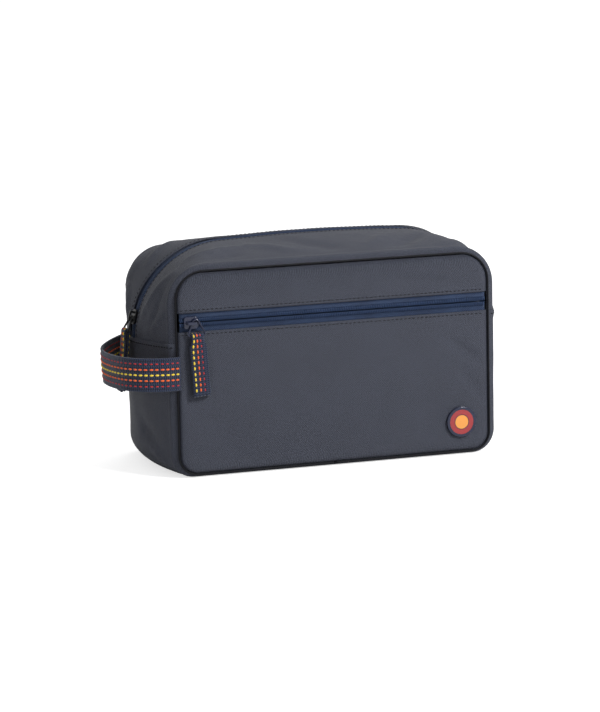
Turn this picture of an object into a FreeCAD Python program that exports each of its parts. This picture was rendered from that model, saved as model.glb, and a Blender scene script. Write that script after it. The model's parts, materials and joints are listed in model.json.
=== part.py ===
import FreeCAD, Part  # noqa: E401
import math
import os

import Sketcher
from FreeCAD import Placement, Rotation, Vector

# A zip-top shaving kit bag in coated canvas. X runs along the bag, -Y is the front, +Z is up.
# The origin is the middle of the flat base. All sizes are in millimetres.
DIMENSIONS = {
    # front and back panels, measured at the turned seam
    "panel_width": 240.0,
    "panel_bottom": 3.0,
    "panel_top": 151.0,
    "panel_top_radius": 20.0,
    "panel_bottom_radius": 14.0,
    "seam_depth": 58.0,  # from the middle of the bag to each seam
    "fabric": 1.4,
    # the gusset's bulge: just past the seam, at the shoulder, and under the main zip
    "edge_depth": 54.0,
    "edge_half_width": 125.0,
    "edge_bottom": 0.8,
    "edge_top": 155.5,
    "edge_top_radius": 26.0,
    "edge_bottom_radius": 17.0,
    "shoulder_depth": 28.0,
    "shoulder_half_width": 133.0,
    "shoulder_top": 164.0,
    "shoulder_top_radius": 50.0,
    "shoulder_bottom_radius": 22.0,
    "zip_flat_depth": 8.0,
    "zip_half_width": 138.0,
    "zip_top": 168.0,
    "zip_top_radius": 76.0,
    "zip_bottom_radius": 24.0,
    # where the lower gusset's hem crosses each side
    "hem_left": 97.5,
    "hem_right": 107.5,
    "flap_half_length": 98.0,
    "body_gap": 0.3,
    # zips
    "zip_opening": 13.6,
    "front_zip_height": 115.0,
    "tape_below_face": 1.5,
    "tape_thickness": 0.6,
    "tape_half_width": 12.0,
    "coil_height": 1.7,
    "coil_inner": 0.6,
    "coil_outer": 2.8,
    # sliders
    "slider_length": 11.0,
    "slider_width": 9.0,
    "slider_plate": 1.2,
    "slider_plate_level": 2.0,
    "slider_flange": 1.1,
    "slider_back_plate": 1.0,
    "slider_back_level": 1.1,
    "slider_web": 0.6,
    "bridge_length": 7.6,
    "bridge_width": 2.0,
    "bridge_hole_length": 4.4,
    "bridge_hole_height": 2.3,
    "bridge_bar": 1.2,
    # pull rings and webbing pulls
    "ring_wire": 1.5,
    "ring_top_radius": 2.4,
    "ring_half_width": 7.2,
    "ring_drop": 9.5,
    "ring_corner": 1.8,
    "pull_width": 12.6,
    "pull_thickness": 4.6,
    "pull_length": 45.0,
    "pull_neck_width": 9.6,
    "pull_neck_length": 4.0,
    "pull_bore": 2.3,
    "front_slider_start": -110.0,
    "front_pull_tilt": 3.5,
    "main_slider_angle": 15.5,
    "main_ring_tilt": 25.0,
    "main_pull_tilt": 6.0,
    # webbing handle
    "strap_width": 25.0,
    "strap_thickness": 2.2,
    "strap_centre_height": 79.5,
    # inside
    "lining_below_face": 3.2,
    "lining": 0.5,
    "lining_behind_back": 1.0,
    "binding_below_face": 1.7,
    "binding": 1.2,
    "binding_depth": 5.0,
    "binding_from_seam": 0.8,
    "pocket_depth": 6.0,
    "stiffener_length": 222.0,
    "stiffener_width": 88.0,
    "stiffener_thickness": 0.9,
    "stiffener_lift": 2.0,
    "stiffener_corner": 12.0,
    # enamel badge
    "badge_x": 97.8,
    "badge_z": 25.2,
    "badge_diameter": 23.0,
    "badge_thickness": 2.0,
    "badge_recess_diameter": 18.6,
    "badge_recess": 0.7,
    "badge_wall": 0.4,
    "badge_post_diameter": 2.0,
    "badge_post_length": 3.4,
    "badge_washer_diameter": 9.0,
    "badge_washer_thickness": 0.8,
}

doc = FreeCAD.newDocument("shaving_kit_bag")
sheet = doc.addObject("Spreadsheet::Sheet", "dims")
for row, (word, value) in enumerate(DIMENSIONS.items(), start=1):
    sheet.set(f"A{row}", word)
    sheet.set(f"B{row}", str(value))
    sheet.setAlias(f"B{row}", word)
doc.recompute()
parts = []


def size(word):
    """A driving dimension, read back from the spreadsheet."""
    return float(sheet.get(word))


def bind(feature, **expressions):
    """Binds a feature's properties to spreadsheet expressions; an underscore pair stands for a dot."""
    for path, expression in expressions.items():
        feature.setExpression(path.replace("__", "."), expression)


def new_body(label):
    body = doc.addObject("PartDesign::Body", label)
    body.Label = label
    parts.append(body)
    return body


def keep_shape(label, shape):
    """A sub-part made with Part's own functions, as one feature of the document."""
    feature = doc.addObject("Part::Feature", label)
    feature.Label = label
    feature.Shape = shape
    parts.append(feature)
    return feature


def add_box(body, name, sizes, corner, cut=False):
    """An additive or subtractive box; sizes and lowest corner are expressions."""
    kind = "PartDesign::SubtractiveBox" if cut else "PartDesign::AdditiveBox"
    box = body.newObject(kind, name)
    bind(box, Length=sizes[0], Width=sizes[1], Height=sizes[2])
    bind(box, Placement__Base__x=corner[0], Placement__Base__y=corner[1], Placement__Base__z=corner[2])
    body.Tip = box
    doc.recompute()
    return box


def add_cylinder(body, name, diameter, height, base, rotation=None, cut=False):
    """An additive or subtractive cylinder along the rotated Z axis, from base."""
    kind = "PartDesign::SubtractiveCylinder" if cut else "PartDesign::AdditiveCylinder"
    cylinder = body.newObject(kind, name)
    cylinder.Placement = Placement(Vector(), rotation or Rotation())
    bind(cylinder, Radius=f"({diameter}) / 2", Height=height)
    bind(
        cylinder,
        Placement__Base__x=base[0],
        Placement__Base__y=base[1],
        Placement__Base__z=base[2],
    )
    body.Tip = cylinder
    doc.recompute()
    return cylinder


def round_edges(body, name, radius, chosen):
    """Fillets the edges of the body's tip that chosen() picks."""
    base = body.Tip
    names = [f"Edge{n}" for n, edge in enumerate(base.Shape.Edges, start=1) if chosen(edge)]
    fillet = body.newObject("PartDesign::Fillet", name)
    fillet.Base = (base, names)
    bind(fillet, Radius=radius)
    body.Tip = fillet
    doc.recompute()
    return fillet


def runs_along(edge, axis):
    if not isinstance(edge.Curve, Part.Line):
        return False
    direction = (edge.Vertexes[-1].Point - edge.Vertexes[0].Point).normalize()
    return abs(direction.dot(axis)) > 0.999


# ---- front and back panels: flat cut pieces whose corners follow the turned seam ----


def panel(label, bottom, top, front, thickness, inset="0", radii=(None, None)):
    """A flat panel between two heights, standing in the XZ plane; radii are the bottom and top corners'."""
    body = new_body(label)
    width = f"dims.panel_width - 2 * ({inset})"
    add_box(
        body,
        label + "_blank",
        (width, thickness, f"({top}) - ({bottom})"),
        (f"-dims.panel_width / 2 + ({inset})", front, bottom),
    )
    middle = body.Tip.Shape.BoundBox.Center.z
    for name, radius, above in (("bottom", radii[0], False), ("top", radii[1], True)):
        if radius:
            round_edges(
                body,
                f"{label}_{name}_corners",
                radius,
                lambda e, above=above: runs_along(e, Vector(0, 1, 0))
                and (e.CenterOfMass.z > middle) == above,
            )
    return body


FRONT_FACE = "-dims.seam_depth - dims.fabric"
ZIP_LOW = "dims.front_zip_height - dims.zip_opening / 2"
ZIP_HIGH = "dims.front_zip_height + dims.zip_opening / 2"
pocket = panel("front_pocket_panel", "dims.panel_bottom", ZIP_LOW, FRONT_FACE, "dims.fabric",
               radii=("dims.panel_bottom_radius", None))
add_cylinder(pocket, "badge_post_hole", "dims.badge_post_diameter + 0.1", "dims.fabric + 2",
             ("dims.badge_x", f"{FRONT_FACE} + dims.fabric + 1", "dims.badge_z"),
             Rotation(Vector(1, 0, 0), 90), cut=True)
panel("front_panel_upper", ZIP_HIGH, "dims.panel_top", FRONT_FACE, "dims.fabric",
      radii=(None, "dims.panel_top_radius"))
panel("back_panel", "dims.panel_bottom", "dims.panel_top", "dims.seam_depth", "dims.fabric",
      radii=("dims.panel_bottom_radius", "dims.panel_top_radius"))
INSIDE = "dims.lining_below_face"
LINING_RADII = ("dims.panel_bottom_radius - dims.lining_below_face",
                "dims.panel_top_radius - dims.lining_below_face")
for name, face in (
    ("front_pocket_lining", "-dims.seam_depth + dims.pocket_depth"),
    ("lining_front", "-dims.seam_depth + dims.pocket_depth + 2 * dims.lining"),
    ("lining_back", "dims.seam_depth - dims.lining_behind_back - dims.lining"),
):
    panel(name, f"dims.panel_bottom + {INSIDE}", f"dims.panel_top - {INSIDE}", face, "dims.lining",
          inset=INSIDE, radii=LINING_RADII)


# ---- the gusset: one bulging tube between the seams, cut into its sewn pieces ----


def outline(y, half_width, bottom, top, top_radius, bottom_radius, inset):
    """A closed rounded rectangle in the plane at y, drawn in by inset."""
    w, low, high = half_width - inset, bottom + inset, top - inset
    rt, rb = top_radius - inset, bottom_radius - inset
    slant = math.sqrt(0.5)

    def corner(cx, cz, radius, x_sign, z_sign):
        ends = [Vector(cx + x_sign * radius, y, cz), Vector(cx, y, cz + z_sign * radius)]
        middle = Vector(cx + x_sign * radius * slant, y, cz + z_sign * radius * slant)
        return ends[0], middle, ends[1]

    right_top = corner(w - rt, high - rt, rt, 1, 1)
    left_top = corner(-w + rt, high - rt, rt, -1, 1)
    left_bottom = corner(-w + rb, low + rb, rb, -1, -1)
    right_bottom = corner(w - rb, low + rb, rb, 1, -1)
    return Part.Wire([
        Part.Arc(*right_top).toShape(),
        Part.LineSegment(right_top[2], left_top[2]).toShape(),
        Part.Arc(*reversed(left_top)).toShape(),
        Part.LineSegment(left_top[0], left_bottom[0]).toShape(),
        Part.Arc(*left_bottom).toShape(),
        Part.LineSegment(left_bottom[2], right_bottom[2]).toShape(),
        Part.Arc(*reversed(right_bottom)).toShape(),
        Part.LineSegment(right_bottom[0], right_top[0]).toShape(),
    ])


def stations():
    """The gusset's outlines from the seam to the zip: depth, half width, bottom, top and corner radii."""
    return [
        (size("seam_depth"), size("panel_width") / 2, size("panel_bottom"), size("panel_top"),
         size("panel_top_radius"), size("panel_bottom_radius")),
        (size("edge_depth"), size("edge_half_width"), size("edge_bottom"), size("edge_top"),
         size("edge_top_radius"), size("edge_bottom_radius")),
        (size("shoulder_depth"), size("shoulder_half_width"), 0.0, size("shoulder_top"),
         size("shoulder_top_radius"), size("shoulder_bottom_radius")),
        (size("zip_flat_depth"), size("zip_half_width"), 0.0, size("zip_top"),
         size("zip_top_radius"), size("zip_bottom_radius")),
    ]


def bulging_solid(inset):
    """The whole bag between its seams as one solid, drawn in by inset all round."""
    half = stations()
    rows = [(-s[0], *s[1:]) for s in half] + [s for s in reversed(half)]
    return Part.makeLoft([outline(*row, inset) for row in rows], True, True)


def bulging_shell(outer, inner):
    return bulging_solid(outer).cut(bulging_solid(inner))


BIG = 400.0


def block(low, high):
    """A cutting box; None in a corner means far outside the bag."""
    a = [-BIG if v is None else v for v in low]
    b = [BIG if v is None else v for v in high]
    return Part.makeBox(b[0] - a[0], b[1] - a[1], b[2] - a[2], Vector(*a))


def solids_of(shape):
    """The shape's solids, as one solid or one compound of separate solids."""
    found = shape.Solids
    return found[0] if len(found) == 1 else Part.Compound(found)


def below_hem():
    """Everything under the lower gusset's hem, which is higher on the right side."""
    left = block((None, None, None), (0, None, size("hem_left")))
    right = block((0, None, None), (None, None, size("hem_right")))
    return left.fuse(right)


def split_top(label, shell, inner, outer):
    """Cuts one layer of the top gusset into its front and rear halves, and each half into the hinged
    flap over the opening and the two shoulders that stay with the bag."""
    gap = size("body_gap")
    upper = shell.cut(below_hem())
    reach = size("flap_half_length")
    seam = size("seam_depth")
    for side, sign in (("front", -1), ("rear", 1)):
        depth = sorted((sign * inner, sign * min(outer, seam)))
        half = upper.common(block((None, depth[0], None), (None, depth[1], None)))
        hinged = sorted((sign * inner, sign * min(outer, seam - gap)))
        flap = half.common(block((-reach, hinged[0], size("panel_top") - 4), (reach, hinged[1], None)))
        free = reach + gap
        shoulders = half.cut(block((-free, None, None), (free, None, None)))
        keep_shape(f"{label}_{side}_flap", solids_of(flap))
        keep_shape(f"{label}_{side}_shoulders", solids_of(shoulders))


fabric_shell = bulging_shell(0, size("fabric"))
keep_shape("lower_gusset", solids_of(fabric_shell.common(below_hem()).removeSplitter()))
split_top("top_gusset", fabric_shell, size("zip_opening") / 2, BIG)

lining_shell = bulging_shell(size("lining_below_face"), size("lining_below_face") + size("lining"))
front_reach = size("seam_depth") - size("pocket_depth") - 4 * size("lining")
rear_reach = size("seam_depth") - size("lining_behind_back") - 2 * size("lining")
lower_lining = lining_shell.common(below_hem()).common(
    block((None, -front_reach, None), (None, rear_reach, None)))
keep_shape("lining_gusset", solids_of(lower_lining))
split_top("lining_top", lining_shell, size("zip_opening") / 2 + 3, front_reach)

binding_shell = bulging_shell(size("binding_below_face"), size("binding_below_face") + size("binding"))
for side, sign in (("front", -1), ("rear", 1)):
    near_seam = size("seam_depth") - size("binding_from_seam")
    depth = sorted((sign * near_seam, sign * (near_seam - size("binding_depth"))))
    keep_shape(f"seam_binding_{side}",
               solids_of(binding_shell.common(block((None, depth[0], None), (None, depth[1], None)))))

# ---- the stiffener board that keeps the base flat ----
board = new_body("base_stiffener")
add_box(board, "base_stiffener_blank",
        ("dims.stiffener_length", "dims.stiffener_width", "dims.stiffener_thickness"),
        ("-dims.stiffener_length / 2", "-dims.stiffener_width / 2", "dims.stiffener_lift"))
round_edges(board, "base_stiffener_corners", "dims.stiffener_corner",
            lambda e: runs_along(e, Vector(0, 0, 1)))

# ---- the main zip: two tapes and two coil halves that follow the bag's arch ----
tape_top = size("tape_below_face")
tape_shell = bulging_shell(tape_top, tape_top + size("tape_thickness"))
split_top("main_zip_tape", tape_shell, size("coil_inner"), size("tape_half_width"))
coil_shell = bulging_shell(tape_top - size("coil_height"), tape_top)
split_top("main_zip_coil", coil_shell, size("coil_inner"), size("coil_outer"))

# ---- the front pocket's zip: straight tapes behind the panel, coils in the opening ----
ZIP_LENGTH = "dims.panel_width - 2 * (dims.fabric + dims.body_gap)"
ZIP_START = "-dims.panel_width / 2 + dims.fabric + dims.body_gap"
TAPE_FACE = "-dims.seam_depth - dims.fabric + dims.tape_below_face"
for side, sign in (("lower", -1), ("upper", 1)):
    tape = new_body(f"front_zip_tape_{side}")
    inner = "dims.coil_inner" if sign > 0 else "-dims.tape_half_width"
    add_box(tape, f"front_zip_tape_{side}_strip",
            (ZIP_LENGTH, "dims.tape_thickness", "dims.tape_half_width - dims.coil_inner"),
            (ZIP_START, TAPE_FACE, f"dims.front_zip_height + ({inner})"))
    coil = new_body(f"front_zip_coil_{side}")
    inner = "dims.coil_inner" if sign > 0 else "-dims.coil_outer"
    add_box(coil, f"front_zip_coil_{side}_row",
            (ZIP_LENGTH, "dims.coil_height", "dims.coil_outer - dims.coil_inner"),
            (ZIP_START, f"{TAPE_FACE} - dims.coil_height", f"dims.front_zip_height + ({inner})"))
    round_edges(coil, f"front_zip_coil_{side}_crown", "dims.coil_height / 3",
                lambda e: runs_along(e, Vector(1, 0, 0)) and e.CenterOfMass.y < -size("seam_depth") - 0.5)


# ---- sliders: a top plate with flanges, a back plate, the web that joins them, and a bridge ----
# A slider's own frame: X along the zip, Y across it, Z out of the bag, and the tape's face at Z = 0.


def slider(label):
    body = new_body(label)
    length, width = "dims.slider_length", "dims.slider_width"
    top = "dims.slider_plate_level + dims.slider_plate"
    add_box(body, label + "_top_plate", (length, width, "dims.slider_plate"),
            (f"-{length} / 2", f"-{width} / 2", "dims.slider_plate_level"))
    round_edges(body, label + "_nose", "dims.slider_width / 3",
                lambda e: runs_along(e, Vector(0, 0, 1)) and e.CenterOfMass.x > 0)
    round_edges(body, label + "_tail", "dims.slider_width / 6",
                lambda e: runs_along(e, Vector(0, 0, 1)) and e.CenterOfMass.x < 0)
    rim = size("slider_plate_level") + size("slider_plate")
    round_edges(body, label + "_rim", "dims.slider_plate / 3",
                lambda e: abs(e.BoundBox.ZMin - rim) < 1e-6 and e.BoundBox.ZLength < 1e-6)
    reach = f"{length} - dims.slider_width / 3"
    for side, low in (("near", f"-{width} / 2"), ("far", f"{width} / 2 - dims.slider_flange")):
        add_box(body, f"{label}_{side}_flange",
                (reach, "dims.slider_flange", "dims.slider_plate_level - dims.body_gap"),
                (f"-{length} / 2 + dims.slider_width / 6", low, "dims.body_gap"))
    add_box(body, label + "_back_plate", (length, width, "dims.slider_back_plate"),
            (f"-{length} / 2", f"-{width} / 2", "-dims.slider_back_level - dims.slider_back_plate"))
    round_edges(body, label + "_back_corners", "dims.slider_width / 6",
                lambda e: runs_along(e, Vector(0, 0, 1)) and e.CenterOfMass.z < -size("slider_back_level")
                and abs(e.CenterOfMass.y) > size("slider_width") / 2 - 0.01
                and abs(e.CenterOfMass.x) > size("slider_length") / 2 - 0.01)
    add_box(body, label + "_web",
            ("dims.slider_length / 4", "dims.slider_web",
             "dims.slider_plate_level + dims.slider_back_level"),
            ("dims.slider_length / 5", "-dims.slider_web / 2", "-dims.slider_back_level"))
    bridge_height = "dims.bridge_hole_height + dims.bridge_bar"
    add_box(body, label + "_bridge", ("dims.bridge_length", "dims.bridge_width", bridge_height),
            ("-dims.bridge_length / 2", "-dims.bridge_width / 2", top))
    crown = rim + size("bridge_hole_height") + size("bridge_bar")
    round_edges(body, label + "_bridge_ends", "dims.bridge_bar",
                lambda e: runs_along(e, Vector(0, 1, 0)) and abs(e.CenterOfMass.z - crown) < 1e-6)
    add_box(body, label + "_bridge_hole",
            ("dims.bridge_hole_length", "dims.bridge_width + 2", "dims.bridge_hole_height"),
            ("-dims.bridge_hole_length / 2", "-dims.bridge_width / 2 - 1", top), cut=True)
    return body


# ---- pull rings: a wire bent round a bridge foot, spreading to a straight bar for the webbing ----
# A ring's own frame: Z up through its top bend, whose centre is the origin, and the wire lies in XZ.


def ring(label):
    body = new_body(label)
    plane = next(o for o in body.Origin.OriginFeatures if o.Role == "XZ_Plane")
    path = body.newObject("Sketcher::SketchObject", label + "_path")
    path.AttachmentSupport = [(plane, "")]
    path.MapMode = "FlatFace"
    bend, drop = size("ring_top_radius"), size("ring_drop")
    wide, turn = size("ring_half_width"), size("ring_corner")
    # the leg leaves the top bend along its tangent and meets the bar through a rounded corner
    span = math.hypot(wide, drop)
    lean = math.atan2(wide, drop) - math.asin(bend / span)
    leg_top = Vector(bend * math.cos(lean), bend * math.sin(lean), 0)
    knee = Vector(wide, -drop, 0)
    down = (knee - leg_top).normalize()
    set_back = turn * math.tan((math.pi / 2 + lean) / 2) if lean > -1 else turn
    leg_end = knee - down * set_back
    bar_end = knee - Vector(set_back, 0, 0)
    normal = Vector(-down.y, down.x, 0)
    if normal.dot(bar_end - leg_end) < 0:
        normal = -normal
    centre = leg_end + normal * turn
    middle = centre + (knee - centre).normalize() * turn

    def mirrored(point):
        return Vector(-point.x, point.y, 0)

    shapes = [
        Part.Arc(leg_top, Vector(0, bend, 0), mirrored(leg_top)),
        Part.LineSegment(mirrored(leg_top), mirrored(leg_end)),
        Part.Arc(mirrored(leg_end), mirrored(middle), mirrored(bar_end)),
        Part.LineSegment(mirrored(bar_end), bar_end),
        Part.Arc(bar_end, middle, leg_end),
        Part.LineSegment(leg_end, leg_top),
    ]
    for shape in shapes:
        path.addGeometry(shape, False)
    doc.recompute()
    section_plane = next(o for o in body.Origin.OriginFeatures if o.Role == "YZ_Plane")
    section = body.newObject("Sketcher::SketchObject", label + "_wire")
    section.AttachmentSupport = [(section_plane, "")]
    section.MapMode = "FlatFace"
    section.addGeometry(Part.Circle(Vector(0, -drop, 0), Vector(0, 0, 1), size("ring_wire") / 2), False)
    section.addConstraint(Sketcher.Constraint("Radius", 0, size("ring_wire") / 2))
    section.setExpression("Constraints[0]", "dims.ring_wire / 2")
    doc.recompute()
    pipe = body.newObject("PartDesign::AdditivePipe", label + "_bend")
    pipe.Profile = section
    pipe.Spine = path
    body.Tip = pipe
    doc.recompute()
    return body


# ---- webbing pulls: webbing folded lengthwise, looped through the ring and hanging in two tails ----
# A pull's own frame: the ring's bar runs along X through the origin, and the tails hang down.


def pull(label):
    body = new_body(label)
    tails = "dims.pull_length - dims.pull_neck_length"
    add_box(body, label + "_tails", ("dims.pull_width", "dims.pull_thickness", tails),
            ("-dims.pull_width / 2", "-dims.pull_thickness / 2", "-dims.pull_length"))
    add_box(body, label + "_neck", ("dims.pull_neck_width", "dims.pull_thickness", "dims.pull_length / 2"),
            ("-dims.pull_neck_width / 2", "-dims.pull_thickness / 2", "-dims.pull_length / 2"))
    across = Rotation(Vector(0, 1, 0), 90)
    add_cylinder(body, label + "_loop", "dims.pull_thickness", "dims.pull_neck_width",
                 ("-dims.pull_neck_width / 2", "0", "0"), across)
    add_cylinder(body, label + "_bore", "dims.pull_bore", "dims.pull_width + 2",
                 ("-dims.pull_width / 2 - 1", "0", "0"), across, cut=True)
    return body


def placed(body, placement):
    body.Placement = placement
    return body


TAPE_Y = -size("seam_depth") - size("fabric") + size("tape_below_face")
RING_LEVEL = size("slider_plate_level") + size("slider_plate") + size("bridge_hole_height") / 2
FOOT = (size("bridge_length") + size("bridge_hole_length")) / 4

# the front slider: X along the bag, Z out of the front
front_at = Vector(size("front_slider_start"), TAPE_Y, size("front_zip_height"))
placed(slider("front_slider"), Placement(front_at, Rotation(Vector(1, 0, 0), 90)))
tilt = Rotation(Vector(0, 1, 0), -size("front_pull_tilt"))
pivot = front_at + Vector(FOOT, -RING_LEVEL, 0)
placed(ring("front_pull_ring"), Placement(pivot, tilt))
bar = pivot + tilt.multVec(Vector(0, 0, -size("ring_drop")))
placed(pull("front_webbing_pull"), Placement(bar, tilt))

# the main slider: on the left shoulder's arc, X up the arc, Z out of the bag
centre = Vector(-size("zip_half_width") + size("zip_top_radius"), 0,
                size("zip_top") - size("zip_top_radius"))
angle = math.radians(size("main_slider_angle"))
outward = Vector(-math.cos(angle), 0, math.sin(angle))
along = Vector(math.sin(angle), 0, math.cos(angle))
face_radius = size("zip_top_radius") - size("tape_below_face")
turn = Rotation(along, Vector(0, 1, 0), outward, "XZY")
placed(slider("main_slider"), Placement(centre + outward * face_radius, turn))
hang = Rotation(Vector(0, 1, 0), size("main_ring_tilt")).multiply(Rotation(Vector(0, 0, 1), 90))
apex = centre + outward * (face_radius + RING_LEVEL)
ring_centre = apex + hang.multVec(Vector(0, 0, -size("ring_top_radius")))
placed(ring("main_pull_ring"), Placement(ring_centre, hang))
bar = ring_centre + hang.multVec(Vector(0, 0, -size("ring_drop")))
drop = Rotation(Vector(0, 1, 0), size("main_pull_tilt")).multiply(Rotation(Vector(0, 0, 1), 90))
placed(pull("main_webbing_pull"), Placement(bar, drop))

# ---- the webbing handle: a strap from the front seam round to the rear seam of the left side ----
STRAP_PATH = [
    (-120.4, -58.9), (-132.0, -61.0), (-146.0, -57.6), (-156.5, -47.5), (-162.2, -31.0),
    (-163.4, -12.0), (-158.6, 7.0), (-150.6, 23.0), (-141.8, 36.5), (-132.4, 48.5), (-121.6, 58.8),
]
middle_line = Part.BSplineCurve()
middle_line.interpolate([Vector(x, y, 0) for x, y in STRAP_PATH])


def strap_side(sign):
    """One face of the strap: the middle line moved sideways by half its thickness."""
    points = []
    first, last = middle_line.FirstParameter, middle_line.LastParameter
    for step in range(25):
        place = first + (last - first) * step / 24
        run = middle_line.tangent(place)[0]
        sideways = Vector(-run.y, run.x, 0) * sign * size("strap_thickness") / 2
        points.append(middle_line.value(place) + sideways)
    curve = Part.BSplineCurve()
    curve.interpolate(points)
    return curve.toShape()


outer_side, inner_side = strap_side(-1), strap_side(1)
ends = [
    Part.makeLine(outer_side.Vertexes[n].Point, inner_side.Vertexes[n].Point) for n in (0, 1)
]
strap_section = Part.Face(Part.Wire(Part.__sortEdges__([outer_side, ends[1], inner_side, ends[0]])))
strap = keep_shape("webbing_handle", strap_section.extrude(Vector(0, 0, size("strap_width"))))
strap.Placement.Base.z = size("strap_centre_height") - size("strap_width") / 2

# ---- the enamel badge: a rimmed disc with a raised ring, two enamel fields, a post and a washer ----
BADGE_BACK = -size("seam_depth") - size("fabric")
facing = Rotation(Vector(1, 0, 0), 90)
badge_at = Placement(Vector(size("badge_x"), BADGE_BACK, size("badge_z")), facing)
INNER_FIELD = "dims.badge_recess_diameter * 0.56"
FIELD_LEVEL = "dims.badge_thickness - dims.badge_recess"

badge = new_body("badge_disc")
add_cylinder(badge, "badge_disc_blank", "dims.badge_diameter", "dims.badge_thickness", ("0", "0", "0"))
round_edges(badge, "badge_disc_rim", "dims.badge_thickness / 4",
            lambda e: e.BoundBox.ZMin > size("badge_thickness") - 1e-6)
add_cylinder(badge, "badge_disc_recess", "dims.badge_recess_diameter", "dims.badge_recess + 1",
             ("0", "0", FIELD_LEVEL), cut=True)
add_cylinder(badge, "badge_disc_ring", f"{INNER_FIELD} + 2 * dims.badge_wall", "dims.badge_recess",
             ("0", "0", FIELD_LEVEL))
add_cylinder(badge, "badge_disc_well", INNER_FIELD, "dims.badge_recess + 1",
             ("0", "0", FIELD_LEVEL), cut=True)
placed(badge, badge_at)

outer_enamel = new_body("badge_enamel_outer")
add_cylinder(outer_enamel, "badge_enamel_outer_fill", "dims.badge_recess_diameter",
             "dims.badge_recess * 0.8", ("0", "0", FIELD_LEVEL))
add_cylinder(outer_enamel, "badge_enamel_outer_hole", f"{INNER_FIELD} + 2 * dims.badge_wall",
             "dims.badge_recess + 1", ("0", "0", f"{FIELD_LEVEL} - 0.1"), cut=True)
placed(outer_enamel, badge_at)

inner_enamel = new_body("badge_enamel_inner")
add_cylinder(inner_enamel, "badge_enamel_inner_fill", INNER_FIELD, "dims.badge_recess * 0.8",
             ("0", "0", FIELD_LEVEL))
placed(inner_enamel, badge_at)

post = new_body("badge_post")
add_cylinder(post, "badge_post_pin", "dims.badge_post_diameter", "dims.badge_post_length",
             ("0", "0", "-dims.badge_post_length"))
placed(post, badge_at)

washer = new_body("badge_washer")
add_cylinder(washer, "badge_washer_blank", "dims.badge_washer_diameter", "dims.badge_washer_thickness",
             ("0", "0", "-dims.fabric - dims.badge_washer_thickness"))
add_cylinder(washer, "badge_washer_hole", "dims.badge_post_diameter + 0.1",
             "dims.badge_washer_thickness + 2",
             ("0", "0", "-dims.fabric - dims.badge_washer_thickness - 1"), cut=True)
placed(washer, badge_at)

# ---- check every sub-part and write it out ----
doc.recompute()
os.makedirs("parts", exist_ok=True)
for thing in doc.Objects:
    if {"Invalid", "Error"} & set(thing.State):
        raise RuntimeError(f"{thing.Label} did not recompute: {thing.State}")
for part in parts:
    if part.Shape.isNull() or not part.Shape.isValid():
        raise RuntimeError(f"{part.Label} has no valid shape")
    part.Shape.exportStep(f"parts/{part.Label}.step")
    box = part.Shape.BoundBox
    print(f"{part.Label:30s} solids {len(part.Shape.Solids)}  {part.Shape.Volume:10.1f} mm3  "
          f"x {box.XMin:7.1f}..{box.XMax:7.1f}  y {box.YMin:6.1f}..{box.YMax:6.1f}  "
          f"z {box.ZMin:6.1f}..{box.ZMax:6.1f}")
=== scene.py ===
import json
import math
import random

import bpy
import numpy as np
from mathutils import Matrix, Vector, noise


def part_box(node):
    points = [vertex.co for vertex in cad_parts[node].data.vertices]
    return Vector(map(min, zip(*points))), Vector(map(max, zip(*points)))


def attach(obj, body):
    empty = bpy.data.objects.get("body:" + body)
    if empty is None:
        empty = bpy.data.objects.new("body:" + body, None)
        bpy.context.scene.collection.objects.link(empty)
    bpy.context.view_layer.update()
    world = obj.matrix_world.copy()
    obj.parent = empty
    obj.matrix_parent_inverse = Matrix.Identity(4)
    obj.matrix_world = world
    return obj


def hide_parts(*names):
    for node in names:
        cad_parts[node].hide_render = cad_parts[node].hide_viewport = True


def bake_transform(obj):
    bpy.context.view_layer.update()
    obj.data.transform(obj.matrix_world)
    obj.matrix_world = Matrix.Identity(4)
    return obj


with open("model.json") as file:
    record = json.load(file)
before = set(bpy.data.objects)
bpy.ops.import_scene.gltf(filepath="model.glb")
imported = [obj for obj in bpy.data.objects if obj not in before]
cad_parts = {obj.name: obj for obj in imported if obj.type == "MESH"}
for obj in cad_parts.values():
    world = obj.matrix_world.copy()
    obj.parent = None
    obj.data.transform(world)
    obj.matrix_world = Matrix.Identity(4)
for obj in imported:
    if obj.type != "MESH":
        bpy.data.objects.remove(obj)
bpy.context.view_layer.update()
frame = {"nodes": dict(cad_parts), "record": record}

random.seed(7)
MM = 0.001

# ---- sizes, read from the frame, in millimetres ----


def box_mm(node):
    low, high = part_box(node)
    return np.array(low) / MM, np.array(high) / MM


PANEL_LOW, PANEL_HIGH = box_mm("back_panel")
HALF_WIDTH, BASE, TOP = PANEL_HIGH[0], PANEL_LOW[2], PANEL_HIGH[2]
SEAM = PANEL_LOW[1]
FACE = PANEL_HIGH[1]
SIDE = box_mm("lower_gusset")[1][0]
CROWN = box_mm("top_gusset_front_flap")[1][2] + 0.4
HEM_RIGHT = box_mm("lower_gusset")[1][2]
HEM_LEFT = HEM_RIGHT - 10.0
ZIP_EDGE = -box_mm("top_gusset_front_flap")[1][1]
SLOT_LOW = box_mm("front_pocket_panel")[1][2]
SLOT_HIGH = box_mm("front_panel_upper")[0][2]
TAPE_LOW, TAPE_HIGH = box_mm("front_zip_tape_upper")

# ---- mesh helpers: every soft piece is a grid of points with thickness, in millimetres ----


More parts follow.
